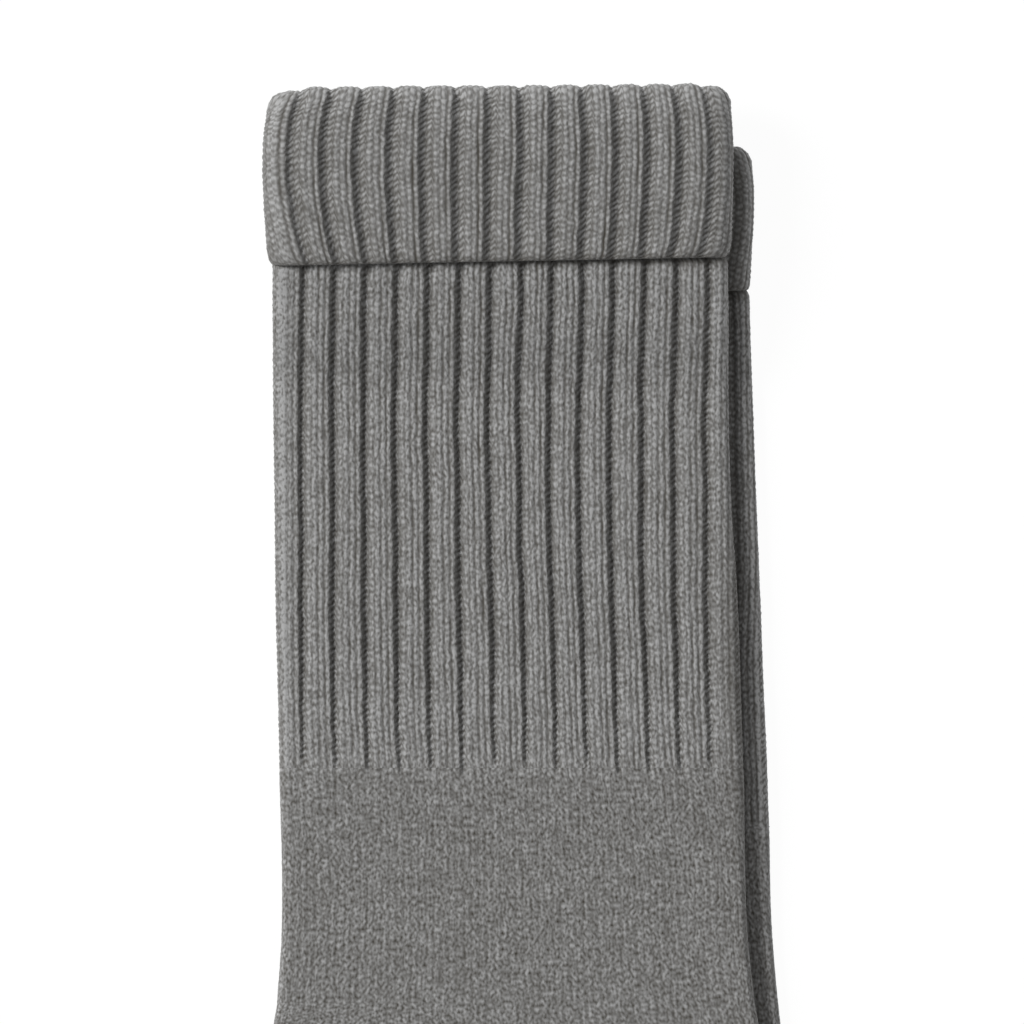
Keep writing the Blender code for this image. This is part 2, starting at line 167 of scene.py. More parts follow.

# The knitting of each stretch. Gaps say how open the gap before each wale of a rib is, and necks how
# deep the dips between the stitches of each wale are; both are pressed into the surface and painted
# darker in the wool's colour as painted shade. A rib begins with so many wales of slanted stitches.
# Edge is the painted light and shade over the wales of the rib at the front edge, and edge_gaps its gaps.
Knit = namedtuple("Knit", "rib gaps necks slanted relief light grain stray edge edge_gaps")
LEG_KNIT = Knit(
    rib=LEG_RIB, gaps=(0.8, 0.65, 0.9, 1.25, 1.35, 0.85), necks=(1.05, 0.6, 0.5, 0.45, 0.45, 0.8),
    slanted=1.0, relief=0.28, light=1.01, grain=2.25, stray=0.2,
    edge=((0.0, 0.90), (0.6, 0.70), (1.3, 0.57), (2.0, 1.40), (2.4, 1.27), (2.9, 0.96), (3.4, 0.79),
          (4.0, 1.0), (4.4, 0.80), (5.0, 0.90), (5.4, 1.0)),
    edge_gaps=(0.0, 0.0, 0.3, 0.7, 0.9, 0.8))
CUFF_KNIT = Knit(
    rib=CUFF_RIB, gaps=(0.8, 1.0, 0.85, 0.9, 1.5, 0.8), necks=(1.1, 1.0, 0.75, 0.65, 0.65, 1.1),
    slanted=2.0, relief=0.30, light=0.95, grain=1.4, stray=0.15,
    edge=((0.0, 0.90), (0.7, 0.68), (1.0, 0.60), (1.6, 0.62), (2.1, 0.84), (2.7, 1.04), (3.3, 1.04),
          (3.7, 0.86), (4.1, 0.98), (4.5, 1.0)),
    edge_gaps=(0.0, 0.6, 0.6, 0.2, 1.3, 0.8))
PLAIN_KNIT = Knit(
    rib=LEG_RIB, gaps=(0.58,) * (WALES_PER_RIB + 1), necks=(0.3,) * (WALES_PER_RIB + 1), slanted=0.0,
    relief=0.12, light=0.67, grain=2.9, stray=0.3, edge=((0.0, 1.0), (1.0, 1.0)),
    edge_gaps=(0.58,) * (WALES_PER_RIB + 1))
EDGE_NECKS = 0.75         # depth of the dips of stitches that aren't slanted, in the ribs at the edges
BACK_EDGE_GAPS = 0.8      # how open the gaps of the rib at the back edge are, next to the others

# A rib's softer form on top of the fold
SOFT_RIB = table(
    RibPoint, (0.00, 0.00, 1.0), (0.08, 0.42, 1.0), (0.18, 0.74, 1.0), (0.32, 0.95, 1.0),
    (0.50, 1.00, 1.0), (0.68, 0.95, 1.0), (0.82, 0.74, 1.0), (0.92, 0.42, 1.0), (1.00, 0.00, 1.0))

# Light lost where the upper leg's last wales turn down, and light over the lower sock's last wales
BACK_SHADE = ((71.2, 0.0), (72.0, 0.26), (72.8, 0.42), (73.3, 0.48), (74.2, 0.48), (75.0, 0.62))
LOWER_EDGE = (
    (69.5, 1.0), (70.5, 0.90), (72.3, 0.86), (72.9, 1.20), (73.4, 1.20), (73.8, 0.96), (74.3, 1.34),
    (75.0, 1.45))

STITCH_SLANT = 0.15       # courses that a stitch climbs from its wale's middle to the gap
WALE_SLANT = 0.8          # courses that a slanted stitch climbs in its wale
WALE_STEP = 0.5           # courses that a wale's stitches lie above those of the wale before
SLANTED_JOIN = 0.2        # how far slanted stitches close the gaps between their wales
UNEVEN = 0.35             # how much the stitches differ in depth
UNEVEN_COURSES, UNEVEN_WALES = 97, 151    # after which the differences repeat
ROUGH = 0.028             # how rough the yarn's surface is
UNEVEN_SEED, ROUGH_SEED = 5, 11

# How far each valley's end lies from RIBS_END, from the front edge of the sock to its back edge
RIB_END_SHIFTS = (
    -2.4, -1.6, -1.0, 0.0, -0.4, -1.0, 0.4, -2.0, -1.4, -0.6, -2.2, 0.0, -0.4, -0.2, -1.2, -1.0)
RIB_END_FADE = 3.0
VALLEYS_NARROW = 2.3      # how much the valleys narrow towards their ends
LAST_VALLEYS_LOSE = 0.42  # share of their depth
NARROWING_LENGTH = 26.0
CROWN_FADE = 22.0         # length in which the cloth sinks from the ribs' crowns to the plain ankle

# How far the leg's ribs lie towards the back, and how far those behind the middle are drawn to it:
# draw is the more the farther back they are, and bow the most halfway to the edge. Shade is how much of
# BACK_SHADE the leg has.
LegLean = namedtuple("LegLean", "depth shift draw bow shade")
LEG_LEANS = table(
    LegLean, (36.0, 0.88, 0.0, 0.30, 0.0), (43.0, 0.80, 0.0, 0.35, -0.4), (61.0, 0.42, 0.0, 0.45, -0.1),
    (83.0, 0.22, 0.004, 0.80, 0.2), (103.0, -0.07, 0.028, 0.95, 0.9), (121.0, -0.32, 0.030, 0.60, 1.0),
    (136.0, -0.25, 0.030, 0.40, 0.6), (160.0, 0.00, 0.0, 0.0, 0.0))

# How far the top fold lies below its highest line, over its width from the front to the back
TOP_LINE = (
    (0.00, 3.40), (0.015, 2.40), (0.04, 1.50), (0.08, 1.00), (0.12, 1.10), (0.18, 1.00), (0.35, 0.80),
    (0.50, 0.80), (0.70, 0.62), (0.85, 0.50), (0.93, 0.36), (0.97, 0.62), (1.00, 2.00))

# The ribs draw together at the top fold and at the hem
Draw = namedtuple("Draw", "front back power")
FOLD_DRAW = Draw(0.042, 0.028, 3.4)
HEM_DRAW = Draw(0.060, 0.030, 1.8)
FOLD_REACH = 12.0
HEM_DRAW_START = 0.45     # share of the turn-down
CUFF_SHIFT = 0.9          # how far the middle ribs of the cuff lie towards the back
HEM_SHIFT_LOSS = 0.5      # share of this that is lost at the hem
TOP_LINE_POWER = 1.5      # how fast the top fold's line fades below it
FOLD_FADE_FROM, FOLD_FADE_TO = math.pi / 2, math.pi * 5 / 6     # angles between which the ribs fade
FOLD_VALLEYS = 0.5        # share of a valley's depth that is left on top of the fold
FOLD_LIGHT = 1.46         # light on top of the fold
FOLD_LIGHT_LENGTH = 4.0
HEM_ROUND = 2.0
HEM_SHADE = 0.42          # light left on the wool in the crease under the hem
HEM_SHADE_LENGTH = 0.7
HEM_GLOW = 0.19           # more light on the leg near the hem
HEM_GLOW_LENGTH = 4.5
HEM_CORNER_DEPTH = 4.0
LEG_FREE = 3.5            # where the leg begins to widen, above the hem
LEG_WIDENS = 4.0

# How far the ribs stray from straight, and how far single stitches do: steps of noise to a rib and
# to a course, where the noise starts, and its seed
Waver = namedtuple("Waver", "reach to_rib to_course rib_start course_start seed")
WAVERS = table(Waver, (0.16, 0.9, 1 / 9, 3, 50, 3), (0.13, 4.1, 0.7, 7, 900, 4))
LATTICE = 97              # steps after which noise repeats

# ---- The grid: columns run round the tube from the front edge, over the top and back underneath ----

# Places in a rib, in wales, that have a column
FINE_STOPS = tuple(np.arange(4 * WALES_PER_RIB) / 4)
HALF_STOPS = (0.0, *np.arange(0.25, WALES_PER_RIB, 0.5))
COARSE_STOPS = (0.0, 2.5)
SHOWN_EDGE_RIBS = 2       # ribs at each edge of a covered face that still show

SPLIT_DEPTH = 10.0        # where a cuff's wall meets the leg's, out of sight between the two
BORDER_DEPTH = 136.6      # where the ribbed leg's knitting meets the ankle's
BORDER_BLEND = 3.0
FULL_WIDTH = 90.0         # width from which the ribs at the edges have their full size
TOE_RINGS = 6             # of the toe's outline
LAST_TOE_ANGLE = 88.0
TOE_ROUND = 1.4           # length of the way round the toe, over TOE_LENGTH
TOE_INSIDE_ANGLES = (80, 50, 20)
LEG_INSIDE_DEPTHS = (BORDER_DEPTH, 110.0, 80.0, *np.arange(66.0, 34.0, -4.0), 20.0, SPLIT_DEPTH)
ANKLE_INSIDE_DEPTHS = (ANKLE_END, 170.0, 155.0, BORDER_DEPTH)
FOLD_COURSES = 5          # courses round the top fold
LINING_FOLD_ROWS = 4      # rows round the fold's lining

# How high the ribs' crowns stand over the plain form, by ribs from the nearer edge. The underside
# rests flat.
EDGE_RIB = RIB * EDGE_RIB_SHARE
CROWNS = ((0.0, EDGE_SWELL), (0.5, EDGE_RIB), (0.8, EDGE_RIB), (1.4, RIB))
UNDER_CROWNS = ((0.0, EDGE_SWELL), (0.4, 0.0))

# Marks each point carries to the wool: light is the painted light and shade, and gap and neck paint shade
# into the gaps and the dips between stitches.
MARKS = ("light", "gap", "slanted", "neck", "stray", "grain")
Section = namedtuple("Section", "front back")
Columns = namedtuple("Columns", "rib top detail")
Row = namedtuple(
    "Row", "section layer knit level valleys worked course lift lean corner tilt draws bow back_bow shift "
    "light back_shade narrow narrowing",
    defaults=(PLAIN_KNIT, *[0.0] * 8, (0.0, 0.0), 0.0, 0.0, 0.0, 1.0, 0.0, 0.0, 1.0))
Grid = namedtuple("Grid", ("points", "wale", "course", *MARKS))


def mix(first, second, share):
    return first + (second - first) * share


def limit(share):
    return min(max(share, 0.0), 1.0)


def ease(share):
    """Smooth step from 0 to 1 as share goes from 0 to 1."""
    share = np.clip(share, 0.0, 1.0)
    return share * share * (3 - 2 * share)


def fade(value, start, end):
    """Smooth step from 1 at start to 0 at end."""
    return ease((end - value) / (end - start))


def hermite(start, end, start_slope, end_slope, t):
    """Smooth curve from start to end with a given slope at each."""
    rise = 3 * t**2 - 2 * t**3
    return mix(start, end, rise) + (t**3 - 2 * t**2 + t) * start_slope + (t**3 - t**2) * end_slope


def read_row(rows, value, column):
    """Read a column of a table at a value of its first column, on a smooth curve through the rows."""
    keys = [row[0] for row in rows]
    values = [getattr(row, column) for row in rows]
    value = min(max(value, keys[0]), keys[-1])
    index = max(i for i in range(len(keys) - 1) if keys[i] <= value)

    def slope(i):
        before, after = max(i - 1, 0), min(i + 1, len(keys) - 1)
        return (values[after] - values[before]) / (keys[after] - keys[before])

    width = keys[index + 1] - keys[index]
    t = (value - keys[index]) / width
    return hermite(values[index], values[index + 1], slope(index) * width, slope(index + 1) * width, t)


def read_line(points, at):
    """Read a table of places and values on straight lines through its points."""
    return np.interp(at, *zip(*points))


def soft_noise(x, y, seed):
    """Smooth noise from -1 to 1 through random values at whole x and y."""
    lattice = np.random.default_rng(seed).uniform(-1, 1, (LATTICE, LATTICE))
    column, row = np.floor(x).astype(int), np.floor(y).astype(int)

    def across(up):
        left, right = (lattice[(row + up) % LATTICE, (column + i) % LATTICE] for i in (0, 1))
        return mix(left, right, ease(x - column))

    return mix(across(0), across(1), ease(y - row))


# ---- Sections of the sock, seen from above ----

def foot_section(step):
    """The foot's section at a step along its rows, whole or between two of them."""
    index = min(int(step), len(FOOT) - 2)
    before, start, end, after = (FOOT[min(max(index + i, 0), len(FOOT) - 1)] for i in (-1, 0, 1, 2))
    ends = [
        hermite(start[i], end[i], (end[i] - before[i]) / 2, (after[i] - start[i]) / 2, step - index)
        for i in range(4)
    ]
    return Section(np.array(ends[:2]), np.array(ends[2:]))


def toe_section(angle):
    """A ring of the toe, square to the foot, at an angle round the toe's ellipse."""
    last = foot_section(len(FOOT) - 1)
    half = (last.back - last.front) / 2
    ahead = np.array((half[1], -half[0])) / np.linalg.norm(half)
    middle = last.front + half + ahead * TOE_LENGTH * math.sin(angle)
    return Section(middle - half * math.cos(angle), middle + half * math.cos(angle))


def level_section(front, back, depth):
    return Section(np.array((front, -depth)), np.array((back, -depth)))


def cuff_section(place, depth):
    share = depth / place.turn_down
    corner = max(1 - (place.turn_down - depth) / HEM_CORNER_DEPTH, 0.0) ** 2 * place.hem_corner
    front = read_row(CUFF, share, "front") + corner
    back = read_row(CUFF, share, place.back) - corner
    return level_section(front, back, depth)


def leg_section(place, depth):
    """The leg's edges: squeezed under the cuff, widening to their own width at the hem."""
    squeezed = cuff_section(place, min(depth, place.turn_down))
    tuck = LEG_IN_CUFF.inset - LEG_FACE.inset
    share = ease((depth - place.turn_down + LEG_FREE) / LEG_WIDENS)
    front = mix(squeezed.front[0] + tuck, read_row(LEG, depth, "front"), share)
    back = mix(squeezed.back[0] - tuck, read_row(LEG, depth, place.back), share)
    return level_section(front, back, depth)


def fold_layer(outer, inner, angle):
    """The layer at an angle round a fold, from the outer one at 0 to the inner one at pi."""
    share = (1 - math.cos(angle)) / 2
    return Layer(*(mix(first, second, share) for first, second in zip(outer, inner)))


# ---- The pair: how the socks lie, and on what ----

def to_pair(place, plan):
    """Points from a sock's own frame to the pair's, seen from above."""
    turn = math.radians(place.turn)
    turned = plan @ np.array(((math.cos(turn), math.sin(turn)), (-math.sin(turn), math.cos(turn))))
    return turned + np.array((place.shift_x, place.shift_y))


def plan_outline(place):
    """The sock's outline seen from above, in the pair's frame."""
    sections = [cuff_section(place, 0), cuff_section(place, place.turn_down / 2)]
    sections += [leg_section(place, row.depth) for row in LEG[1:-1]]
    sections += [foot_section(step) for step in range(len(FOOT))]
    sections += [toe_section(math.pi / 2 * ring / TOE_RINGS) for ring in range(1, TOE_RINGS + 1)]
    edge = [section.front for section in sections] + [section.back for section in reversed(sections)]
    return to_pair(place, np.array(edge))


def distance_outside(plan, polygon):
    """How far each point lies outside a polygon, or 0 inside it."""
    start, end = polygon, np.roll(polygon, -1, axis=0)
    side = end - start
    x, y = plan[:, :1], plan[:, 1:]
    crossed = (start[:, 1] > y) != (end[:, 1] > y)
    height = np.where(side[:, 1] == 0, 1.0, side[:, 1])
    crossings = crossed & (x < start[:, 0] + (y - start[:, 1]) * side[:, 0] / height)
    away = plan[:, None, :] - start
    length = np.maximum((side**2).sum(1), 1e-9)
    share = np.clip((away * side).sum(2) / length, 0.0, 1.0)
    nearest = np.linalg.norm(away - side * share[:, :, None], axis=2).min(1)
    return np.where(crossings.sum(1) % 2 == 1, 0.0, nearest)


LOWER_OUTLINE = plan_outline(LOWER)
LOWER_HEM_DEPTH = LOWER.turn_down - LOWER.shift_y


def own_drop(place, depth):
    """How far a sock's middle plane lies over its underside, at a depth below its fold."""
    return mix(CUFF_FACE.drop, LEG_FACE.drop, ease((depth - place.turn_down - HEM_CLEARANCE) / CUFF_STEP))


def under_upper(plan):
    """Height of the surface under the upper sock: the lower one's cuff and leg, and past its edge."""
    cuff_top = CUFF_FACE.drop + CUFF_FACE.rise + RIB + REST_GAP
    leg_top = LEG_FACE.drop + LEG_FACE.rise + RIB + REST_GAP
    bridged = ease((-plan[:, 1] - LOWER_HEM_DEPTH - BRIDGE_START) / BRIDGE_LENGTH)
    return mix(cuff_top, leg_top, bridged) - SAG * distance_outside(plan, LOWER_OUTLINE) ** 2


def pair_origin():
    """Where the pair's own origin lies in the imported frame, from that frame's highest corner."""
    heel_edges = []
    for half_step in range(2 * len(FOOT) - 1):
        front, back = foot_section(half_step / 2)
        inner = back - (back - front) / np.linalg.norm(back - front) * LEG_FACE.inset
        heel_edges.append(to_pair(LOWER, inner[None])[0, 0])
    fold_reach = max(
        FOLD_RADIUS * (math.sin(math.radians(angle)) - 1)
        + RIB * fade(angle, SOLID_FADE_FROM, SOLID_FADE_TO) * math.sin(math.radians(angle))
        for angle in SOLID_FOLD_ANGLES)
    highest = cad_bounds[1]
    return np.array((highest.x / MM - max(heel_edges), highest.y / MM - fold_reach, 0.0))


ORIGIN = pair_origin()


# ---- Rings ----

def ring_columns(place):
    """The columns of a sock's grid: where each lies, which face it is on, and if it shows."""
    rib, top, detail = [], [], []
    for stops, on_top in ((FINE_STOPS, True), (HALF_STOPS, False)):
        for index in range(RIBS):
            shown = place.on_top == on_top or min(index, RIBS - 1 - index) < SHOWN_EDGE_RIBS
            for stop in stops if shown else COARSE_STOPS:
                rib.append(index + stop / WALES_PER_RIB)
                top.append(on_top)
                detail.append(shown)
    rib, top = np.array(rib), np.array(top)
    return Columns(np.where(top, rib, RIBS - rib), top, np.array(detail))


def ribs_from_edge(columns):
    return np.minimum(columns.rib, RIBS - columns.rib)


def across_ring(columns, width, layer):
    """Each column's place on a flattened ring: how far in, its height and the angle of its normal."""
    radius = np.where(columns.top, layer.rise, layer.drop)
    straight = np.maximum(EDGE_RIB_WIDTH - layer.inset - radius, 0.0) * min(width / FULL_WIDTH, 1.0)
    pitch = (width - 2 * (layer.inset + radius + straight)) / (RIBS - 2)
    from_side = ribs_from_edge(columns)
    round_length = radius * math.pi / 2
    reach = np.minimum(from_side, 1.0) * (round_length + straight)
    angle = np.minimum(reach / radius, math.pi / 2)
    inwards = layer.inset + radius * (1 - np.cos(angle)) + np.maximum(reach - round_length, 0.0)
    inwards += pitch * np.maximum(from_side - 1, 0.0)
    at_front = columns.rib < RIBS / 2
    return np.where(at_front, inwards, width - inwards), radius * np.sin(angle), angle


def inside_edges(columns):
    """How fully each column moves with the ribs inside the edges."""
    return ease((ribs_from_edge(columns) - EDGE_STILL) / (1 - EDGE_STILL))


def edge_wales(columns, row):
    """Wales counted to each column beyond its own, so that a wider rib at an edge shows more of them."""
    drawn_front, drawn_back = (share * EDGE_DRAWN for share in row.draws)
    more = np.where(columns.rib < RIBS / 2, -drawn_front - row.shift, drawn_back - row.shift) / WALE_WIDTH
    return more * (1 - inside_edges(columns)) * columns.top


def rib_shifts(columns, row, from_middle, width):
    """How far the ribs inside the edges are moved towards the back."""
    growth = np.abs(DRAW_GROWTH * from_middle / width)
    drawn = np.where(from_middle < 0, *row.draws) * from_middle * growth
    bowed = row.bow * (1 - (2 * from_middle / width) ** 2)
    bowed -= row.back_bow * np.sin(np.pi * np.clip(2 * from_middle / width, 0.0, 1.0))
    waver = sum(
        each.reach * soft_noise(
            columns.rib * each.to_rib + each.rib_start,
            np.full(len(columns.rib), each.course_start + row.course * each.to_course), each.seed)
        for each in WAVERS)
    return (bowed - drawn + row.shift + waver * row.worked) * inside_edges(columns)


def base_ring(place, columns, row):
    """A ring's points on the plain form and their normals, in the pair's frame."""
    front, back = row.section
    width = np.linalg.norm(back - front)
    across = (back - front) / width
    inwards, rise, angle = across_ring(columns, width, row.layer)
    facing = np.where(columns.top, 1.0, -1.0)
    outwards = np.cos(angle) * np.where(columns.rib < RIBS / 2, -1.0, 1.0)
    plan = front + across * inwards[:, None]
    plan[:, 1] += row.lift
    plan[:, 1] -= read_line(TOP_LINE, inwards / width) * row.corner
    plan[:, 0] += rib_shifts(columns, row, inwards - width / 2, width)
    plan[:, 1] += HEM_TILT * (inwards / width - 0.5) * row.tilt
    drop = own_drop(place, -plan[:, 1])
    normal = across * (outwards * math.cos(row.lean))[:, None]
    normal[:, 1] += math.sin(row.lean)
    plan, normal = to_pair(place, plan), to_pair(place, normal) - to_pair(place, np.zeros(2))
    height = drop + rise * facing
    if place.on_top:
        height += under_upper(plan)
    points = np.column_stack((plan, height))
    return points, np.column_stack((normal, math.cos(row.lean) * np.sin(angle) * facing))


def rib_profile(points, rib, column):
    """A column of a rib's table at a place counted in ribs; the sock's edges have no valley."""
    line = [(point.at, getattr(point, column)) for point in points]
    at_edge = (rib < 0.5) | (rib > RIBS - 0.5)
    return np.where(at_edge, 1.0, read_line(line, rib % 1.0))


def crown_height(columns):
    from_side = ribs_from_edge(columns)
    return np.where(columns.top, read_line(CROWNS, from_side), read_line(UNDER_CROWNS, from_side))


def wave(value):
    """1 at whole values and 0 halfway between them."""
    return 0.5 + 0.5 * np.cos(2 * np.pi * value)


def work_row(place, knit, wale, course):
    """The marks of a row's knitting: its gaps, where it is slanted, its dips, and its depth in all."""
    wale = wale + GAP_SHIFT
    in_rib = wale % WALES_PER_RIB
    nearest, within = np.round(in_rib).astype(int), np.floor(in_rib).astype(int)
    front_edge = wale < WALES_PER_RIB
    back_edge = (wale > FACE_WALES - WALES_PER_RIB) & (wale < FACE_WALES)
    straight = front_edge | back_edge & (not place.on_top)
    slanted = ((in_rib < knit.slanted) & ~straight) * 1.0
    gap = np.where(front_edge, np.array(knit.edge_gaps)[nearest], np.array(knit.gaps)[nearest])
    gap *= np.where(back_edge & place.on_top, BACK_EDGE_GAPS, 1.0)
    neck = np.array(knit.necks)[within]
    neck = np.where((front_edge | back_edge) & (slanted == 0), np.minimum(neck, EDGE_NECKS), neck)
    side = np.abs(2 * (wale % 1.0) - 1)
    climb = np.where(slanted, WALE_SLANT * (in_rib % 1.0), STITCH_SLANT * side)
    run = course - climb - WALE_STEP * np.floor(wale)
    cells = (UNEVEN_COURSES, UNEVEN_WALES)
    uneven = np.random.default_rng(UNEVEN_SEED).uniform(1 - UNEVEN, 1, cells)
    stitch = uneven[tuple(np.floor(at).astype(int) % count for at, count in zip((run, wale), cells))]
    column = 1 - np.minimum(gap, 1.0) * (1 - slanted * SLANTED_JOIN) * wave(wale)
    return gap, slanted, neck, 1 - stitch * column * (1 - neck * wave(run))


def valley_shares(columns, depth):
    """How much of each valley is left at a depth below the fold, for the valley nearest each column."""
    end = RIBS_END + np.array(RIB_END_SHIFTS)[np.round(columns.rib).astype(int)]
    shallower = 1 - LAST_VALLEYS_LOSE * ease((depth - end + NARROWING_LENGTH) / NARROWING_LENGTH)
    return shallower * (1 - ease((depth - end) / RIB_END_FADE))


def crown_level(depth):
    """How far the cloth stands up to the ribs' crowns at a depth below the fold."""
    return 1 - ease((depth - RIBS_END) / CROWN_FADE)


def make_grid(place, columns, rows):
    """The points of a run of rings, and the place of each in the knitting."""

    def each(name):
        return np.array([np.broadcast_to(getattr(row, name), len(columns.rib)) for row in rows])

    def of_knit(name):
        return np.array([getattr(row.knit, name) for row in rows])[:, None]

    rings = [base_ring(place, columns, row) for row in rows]
    base, normals = (np.array(part) for part in zip(*rings))
    course, valleys = each("course"), each("valleys")
    wale = wales_at(columns.rib, columns.top, each("narrowing"))
    wale += np.array([edge_wales(columns, row) for row in rows])
    rib = np.where(columns.top, columns.rib, RIBS - columns.rib)
    sharp, rib_light = (
        np.array([rib_profile(row.knit.rib, rib, column) for row in rows]) for column in ("height", "light"))
    height = mix(sharp, rib_profile(SOFT_RIB, rib, "height"), ease(each("lean") / (math.pi / 2)))
    narrow = (1 - height) ** each("narrow")
    light = each("light") * mix(1.0, rib_light, valleys * narrow) * of_knit("light")
    at = columns.rib * WALES_PER_RIB
    light *= np.array([read_line(row.knit.edge, at) for row in rows])
    light *= 1 - each("back_shade") * read_line(BACK_SHADE, at) if place.on_top else read_line(LOWER_EDGE, at)
    gap, slanted, neck, depth = (
        np.array(part)
        for part in zip(*(work_row(place, row.knit, *more) for row, *more in zip(rows, wale, course))))
    crown = crown_height(columns)
    swell = crown * each("level") - (crown + VALLEY) * (1 - height) * narrow * valleys
    rough = np.abs(np.random.default_rng(ROUGH_SEED).normal(size=swell.shape))
    swell -= each("worked") * columns.detail * (of_knit("relief") * depth + ROUGH * rough)
    stray, grain = (np.broadcast_to(of_knit(name), light.shape) for name in ("stray", "grain"))
    return Grid(base + normals * swell[:, :, None], wale, course, light, gap, slanted, neck, stray, grain)


def wales_at(rib, top, narrowing):
    """Wales counted round the tube; narrowing drops wales from both edges of a face."""
    middle = FACE_WALES / 2
    from_middle = (rib * WALES_PER_RIB - middle) * narrowing
    return np.where(top, middle + from_middle, FACE_WALES + middle - from_middle)


# ---- Rows of each stretch of a sock ----

def course_steps(start, end, height, per_course):
    """Courses of a height from start to end, and their depths, with so many rows to a course."""
    count = round((end - start) / height * per_course)
    return [(step / per_course, mix(start, end, step / count)) for step in range(count + 1)]


def near_fold(depth):
    return limit(1 - (depth - FOLD_RADIUS) / (FOLD_REACH - FOLD_RADIUS)) ** TOP_LINE_POWER


def to_hem(place, depth):
    """From 0 where the cuff's ribs begin to draw together to 1 at the hem."""
    return limit((depth / place.turn_down - HEM_DRAW_START) / (1 - HEM_DRAW_START))


def cuff_draws(place, depth):
    """How far the cuff's ribs are drawn to its middle at each side, as shares of their distance to it."""
    at_fold = limit(1 - depth / FOLD_REACH) ** FOLD_DRAW.power
    at_hem = to_hem(place, depth) ** HEM_DRAW.power
    return tuple(fold * at_fold + hem * at_hem for fold, hem in zip(FOLD_DRAW[:2], HEM_DRAW[:2]))


def cuff_row(place, depth, layer, **more):
    return Row(
        cuff_section(place, depth), layer, CUFF_KNIT, corner=near_fold(depth),
        tilt=float(ease(2 * depth / place.turn_down - 1)), draws=cuff_draws(place, depth),
        bow=CUFF_SHIFT * (1 - HEM_SHIFT_LOSS * to_hem(place, depth)), **more)


def fold_rows(place, outer, inner, radius, count, knitted):
    """Rows round the top fold, from its outer layer to its inner one."""
    rows = []
    for step in range(count + 1):
        angle = math.pi * step / count
        ribs = float(fade(angle, FOLD_FADE_FROM, FOLD_FADE_TO)) if knitted else 0.0
        valleys = ribs * mix(1.0, FOLD_VALLEYS, float(ease(angle / (math.pi / 2))))
        lift = radius * math.sin(angle)
        rows.append(Row(
            cuff_section(place, FOLD_RADIUS), fold_layer(outer, inner, angle), CUFF_KNIT, ribs, valleys, ribs,
            radius * angle / COURSE, lift, angle, 1.0, draws=cuff_draws(place, FOLD_RADIUS - lift),
            bow=CUFF_SHIFT, light=fold_light(FOLD_RADIUS - lift)))
    return rows


def fold_light(depth):
    """How much more light the wool takes near the top of the fold."""
    return 1 + (FOLD_LIGHT - 1) * math.exp(-depth / FOLD_LIGHT_LENGTH)


def hem_light(distance):
    """The light left on the wool at a distance from the crease under the hem."""
    distance = max(distance, 0.0)
    glow = HEM_GLOW * math.exp(-distance / HEM_GLOW_LENGTH)
    return 1 + glow - (1 + glow - HEM_SHADE) * math.exp(-distance / HEM_SHADE_LENGTH)


def cuff_rows(place, per_course):
    """The cuff's wall: down its face, round the hem, up its lining, over and back along the leg."""
    hem = place.turn_down
    face_end = hem - HEM_ROUND
    rows = [
        cuff_row(
            place, depth, CUFF_FACE, level=1.0, valleys=1.0, worked=1.0, course=-course,
            light=fold_light(depth))
        for course, depth in course_steps(FOLD_RADIUS, face_end, COURSE, per_course)]
    last_course = rows[-1].course
    turn_steps = 2 * per_course + 2
    for step in range(1, turn_steps):
        angle = math.pi * step / turn_steps
        share = math.cos(angle / 2) ** 2
        shade = math.sin(min(angle, math.pi / 2)) ** 2
        rows.append(cuff_row(
            place, face_end + HEM_ROUND * math.sin(angle), fold_layer(CUFF_FACE, CUFF_LINING, angle),
            level=share, valleys=share, worked=share, course=last_course - HEM_ROUND * angle / COURSE,
            light=mix(1.0, HEM_SHADE, shade)))
    for depth in (face_end, hem / 2, SPLIT_DEPTH, FOLD_RADIUS + 2):
        rows.append(cuff_row(place, depth, CUFF_LINING))
    rows += fold_rows(place, CUFF_LINING, LEG_IN_CUFF, LINING_RADIUS, LINING_FOLD_ROWS, False)
    rows += [cuff_row(place, SPLIT_DEPTH, layer) for layer in (LEG_IN_CUFF, SLIT_IN_CUFF)]
    over = fold_rows(place, CUFF_FACE, SLIT_IN_CUFF, FOLD_RADIUS, FOLD_COURSES * per_course, True)
    return rows + over[:0:-1]


def near_border(knit, other, depth):
    """Knitting that takes on half of its neighbour's marks where it meets it."""
    share = 0.5 * float(ease(1 - abs(depth - BORDER_DEPTH) / BORDER_BLEND))
    blended = {}
    for name in ("relief", "light", "grain", "gaps", "necks"):
        first, second = np.array(getattr(knit, name)), np.array(getattr(other, name))
        blended[name] = mix(first, second, share)
    return knit._replace(**blended)


def leg_rows(place, columns, per_course):
    """The leg's outside, from under the cuff to the first plain courses."""
    tucked = place.turn_down - RIBS_UNDER_CUFF
    start = place.turn_down - RIBS_UNDER_CUFF / 2
    rows = [
        Row(leg_section(place, depth), LEG_FACE, corner=near_fold(depth)) for depth in (SPLIT_DEPTH, tucked)]
    for course, depth in course_steps(start, BORDER_DEPTH, COURSE, per_course):
        shown = ease((depth - tucked) / RIBS_UNDER_CUFF)
        rows.append(Row(
            leg_section(place, depth), LEG_FACE, near_border(LEG_KNIT, PLAIN_KNIT, depth),
            crown_level(depth) * shown, valley_shares(columns, depth) * shown, 1.0, -course,
            light=hem_light(depth - place.turn_down), **leg_leans(depth)))
    return rows


def leg_leans(depth):
    """How a leg's row has its ribs shifted, drawn together, and narrowed where they end."""
    depths, *columns = zip(*LEG_LEANS)
    shift, draw, bow, shade = (np.interp(depth, depths, column) for column in columns)
    narrow = VALLEYS_NARROW * ease((depth - RIBS_END + NARROWING_LENGTH) / NARROWING_LENGTH)
    return {"shift": shift, "draws": (0.0, draw), "back_bow": bow, "back_shade": shade, "narrow": narrow}


